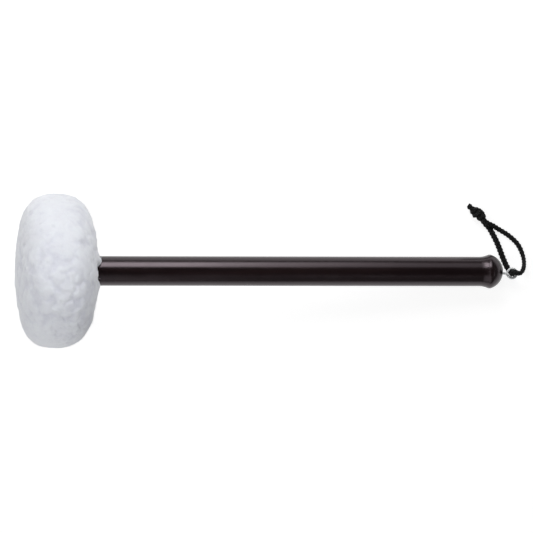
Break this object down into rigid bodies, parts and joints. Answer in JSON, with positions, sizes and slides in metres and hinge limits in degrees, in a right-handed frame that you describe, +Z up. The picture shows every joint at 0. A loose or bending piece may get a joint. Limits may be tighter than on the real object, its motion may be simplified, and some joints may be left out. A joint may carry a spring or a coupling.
{
  "type": "gong mallet",
  "caption": "Gong mallet with a puckered white fleece head over a weighted core, a lacquered wooden handle with a domed butt, a screw eye and a knotted cord lanyard.",
  "frame": {"origin": "on the table, on the flat that the fleece presses there, under the middle of the head", "axes": "+X runs along the table from the head to the butt, +Z is up, +Y is the side that the cord lies on"},
  "size_m": [0.3853, 0.1142, 0.1124],
  "materials": {
    "fleece": "deep curly pile, white with a cool tint",
    "batting": "loose carded wool",
    "felt": "dense pressed wool",
    "core_steel": "turned, oiled",
    "zinc_steel": "bright zinc plate",
    "thread": "waxed thread",
    "lacquered_wood": "glossy very dark brown lacquer",
    "cord": "black braid"
  },
  "bodies": {
    "mallet": {"handle": "lacquered_wood", "fleece_cover": "fleece", "wool_batting": "batting", "front_felt_disc": "felt", "rear_felt_ring": "felt", "rim_felt_wrap": "felt", "head_core": "core_steel", "core_washer": "zinc_steel", "core_screw": "zinc_steel", "neck_drawstring": "thread", "screw_eye": "zinc_steel"},
    "lanyard": {"lanyard_loop": "cord", "lanyard_knot": "cord", "lanyard_tail_upper": "cord", "lanyard_tail_lower": "cord"}
  },
  "joints": [
    {"name": "lanyard_swing", "type": "hinge", "parent": "mallet", "child": "lanyard", "pos_m": [0.34259, -0.0014, 0], "axis": [0, 0, 1], "range_deg": [-140, 0]}
  ]
}
